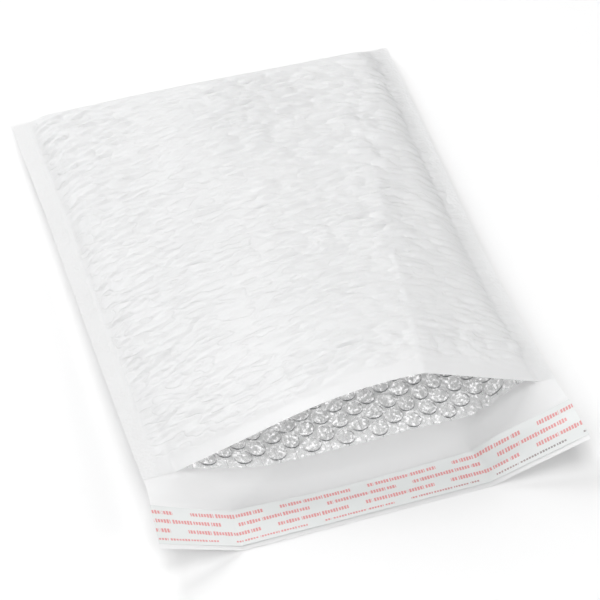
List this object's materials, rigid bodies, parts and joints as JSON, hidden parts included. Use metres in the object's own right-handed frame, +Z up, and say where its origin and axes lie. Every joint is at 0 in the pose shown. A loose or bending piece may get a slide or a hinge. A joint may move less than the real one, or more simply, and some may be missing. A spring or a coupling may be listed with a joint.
{
  "type": "padded envelope",
  "caption": "Padded mailing envelope of white film with a bubble lining, its mouth open and its closing flap carrying a peel-off liner.",
  "frame": {"origin": "on the table, under the middle of the envelope's footprint", "axes": "+X across the envelope, +Y from the mouth and flap to the closed end, +Z up from the back panel to the front panel"},
  "size_m": [0.229, 0.3224, 0.0464],
  "materials": {
    "film": "white coextruded poly film with a soft sheen",
    "bubble_film": "clear glossy bubble film",
    "adhesive": "tacky hot-melt adhesive",
    "liner": "smooth siliconised release liner printed with rows of red dashes"
  },
  "bodies": {
    "root": {"outer_film": "film", "bubble_lining": "bubble_film", "adhesive_strip": "adhesive", "release_liner": "liner"}
  },
  "joints": []
}
